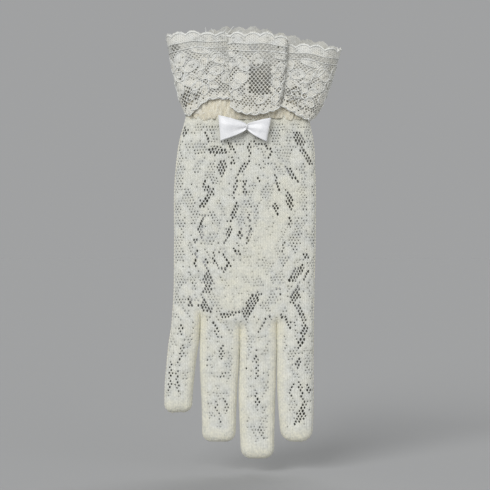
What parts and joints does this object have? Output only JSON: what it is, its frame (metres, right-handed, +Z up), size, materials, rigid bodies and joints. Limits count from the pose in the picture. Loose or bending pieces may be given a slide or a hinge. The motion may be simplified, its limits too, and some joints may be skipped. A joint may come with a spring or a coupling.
{
  "type": "lace glove",
  "caption": "Ivory floral lace dress glove with full fingers, an elasticated wrist, a flared gathered lace ruffle and a small satin bow, hung by its wrist.",
  "frame": {"origin": "middle of the wrist opening, level with the top edge of the glove's hand", "axes": "+Z up the wearer's arm, the fingers hang towards -Z; +X towards the thumb side; +Y towards the palm, so the back of the hand faces -Y"},
  "size_m": [0.0936, 0.0257, 0.2278],
  "materials": {
    "glove_lace": "ivory stretch lace with a solid floral pattern and fine net",
    "hem_lace": "folded cream lace, wrinkled over elastic",
    "ruffle_lace": "galloon lace with shiny outline thread and scalloped edge",
    "seam": "cream overlocked seam",
    "elastic": "flat woven elastic",
    "satin": "white satin ribbon",
    "thread": "white sewing thread"
  },
  "bodies": {
    "hand": {"back_panel": "glove_lace", "palm_panel": "glove_lace", "pinky_side_seam": "seam", "thumb_side_seam": "seam", "pinky_ring_crotch_seam": "seam", "ring_middle_crotch_seam": "seam", "middle_index_crotch_seam": "seam", "thumb_hole_seam": "seam", "wrist_hem": "hem_lace", "wrist_elastic": "elastic", "ruffle": "ruffle_lace", "ruffle_gather_seam": "seam", "bow_left_loop": "satin", "bow_right_loop": "satin", "bow_stitch": "thread"},
    "pinky_base": {"pinky_base_back": "glove_lace", "pinky_base_palm": "glove_lace"},
    "pinky_middle": {"pinky_middle_back": "glove_lace", "pinky_middle_palm": "glove_lace"},
    "pinky_tip": {"pinky_tip_back": "glove_lace", "pinky_tip_palm": "glove_lace"},
    "ring_base": {"ring_base_back": "glove_lace", "ring_base_palm": "glove_lace"},
    "ring_middle": {"ring_middle_back": "glove_lace", "ring_middle_palm": "glove_lace"},
    "ring_tip": {"ring_tip_back": "glove_lace", "ring_tip_palm": "glove_lace"},
    "middle_base": {"middle_base_back": "glove_lace", "middle_base_palm": "glove_lace"},
    "middle_middle": {"middle_middle_back": "glove_lace", "middle_middle_palm": "glove_lace"},
    "middle_tip": {"middle_tip_back": "glove_lace", "middle_tip_palm": "glove_lace"},
    "index_base": {"index_base_back": "glove_lace", "index_base_palm": "glove_lace"},
    "index_middle": {"index_middle_back": "glove_lace", "index_middle_palm": "glove_lace"},
    "index_tip": {"index_tip_back": "glove_lace", "index_tip_palm": "glove_lace"},
    "thumb_base": {"thumb_base_back": "glove_lace", "thumb_base_palm": "glove_lace"},
    "thumb_tip": {"thumb_tip_back": "glove_lace", "thumb_tip_palm": "glove_lace"}
  },
  "joints": [
    {"name": "pinky_knuckle", "type": "hinge", "parent": "hand", "child": "pinky_base", "pos_m": [-0.0316, 0.0041, -0.1085], "axis": [0.9971, 0, -0.0767], "range_deg": [0, 90]},
    {"name": "pinky_middle_joint", "type": "hinge", "parent": "pinky_base", "child": "pinky_middle", "pos_m": [-0.03303, 0.0038, -0.1271], "axis": [0.9971, 0, -0.0767], "range_deg": [0, 95]},
    {"name": "pinky_tip_joint", "type": "hinge", "parent": "pinky_middle", "child": "pinky_tip", "pos_m": [-0.03416, 0.0038, -0.14179], "axis": [0.9971, 0, -0.0767], "range_deg": [0, 62]},
    {"name": "ring_knuckle", "type": "hinge", "parent": "hand", "child": "ring_base", "pos_m": [-0.0126, 0.0041, -0.1135], "axis": [0.9998, 0, -0.0175], "range_deg": [0, 90]},
    {"name": "ring_middle_joint", "type": "hinge", "parent": "ring_base", "child": "ring_middle", "pos_m": [-0.01299, 0.0038, -0.13603], "axis": [0.9998, 0, -0.0175], "range_deg": [0, 95]},
    {"name": "ring_tip_joint", "type": "hinge", "parent": "ring_middle", "child": "ring_tip", "pos_m": [-0.0133, 0.0038, -0.15382], "axis": [0.9998, 0, -0.0175], "range_deg": [0, 62]},
    {"name": "middle_knuckle", "type": "hinge", "parent": "hand", "child": "middle_base", "pos_m": [0.0074, 0.0041, -0.1135], "axis": [1, 0, 0], "range_deg": [0, 90]},
    {"name": "middle_middle_joint", "type": "hinge", "parent": "middle_base", "child": "middle_middle", "pos_m": [0.0074, 0.0038, -0.13945], "axis": [1, 0, 0], "range_deg": [0, 95]},
    {"name": "middle_tip_joint", "type": "hinge", "parent": "middle_middle", "child": "middle_tip", "pos_m": [0.0074, 0.0038, -0.15994], "axis": [1, 0, 0], "range_deg": [0, 62]},
    {"name": "index_knuckle", "type": "hinge", "parent": "hand", "child": "index_base", "pos_m": [0.0272, 0.0041, -0.1135], "axis": [0.9999, 0, 0.014], "range_deg": [0, 90]},
    {"name": "index_middle_joint", "type": "hinge", "parent": "index_base", "child": "index_middle", "pos_m": [0.02752, 0.0038, -0.13603], "axis": [0.9999, 0, 0.014], "range_deg": [0, 95]},
    {"name": "index_tip_joint", "type": "hinge", "parent": "index_middle", "child": "index_tip", "pos_m": [0.02776, 0.0038, -0.15382], "axis": [0.9999, 0, 0.014], "range_deg": [0, 62]},
    {"name": "thumb_fold", "type": "hinge", "parent": "hand", "child": "thumb_base", "pos_m": [0.033, 0.0093, -0.037], "axis": [0, 0, -1], "range_deg": [0, 140]},
    {"name": "thumb_joint", "type": "hinge", "parent": "thumb_base", "child": "thumb_tip", "pos_m": [0.01795, 0.0093, -0.07545], "axis": [0, -1, 0], "range_deg": [0, 50]}
  ],
  "couplings": [
    {"joint": "pinky_tip_joint", "follows": "pinky_middle_joint", "ratio": 0.65},
    {"joint": "ring_tip_joint", "follows": "ring_middle_joint", "ratio": 0.65},
    {"joint": "middle_tip_joint", "follows": "middle_middle_joint", "ratio": 0.65},
    {"joint": "index_tip_joint", "follows": "index_middle_joint", "ratio": 0.65}
  ]
}
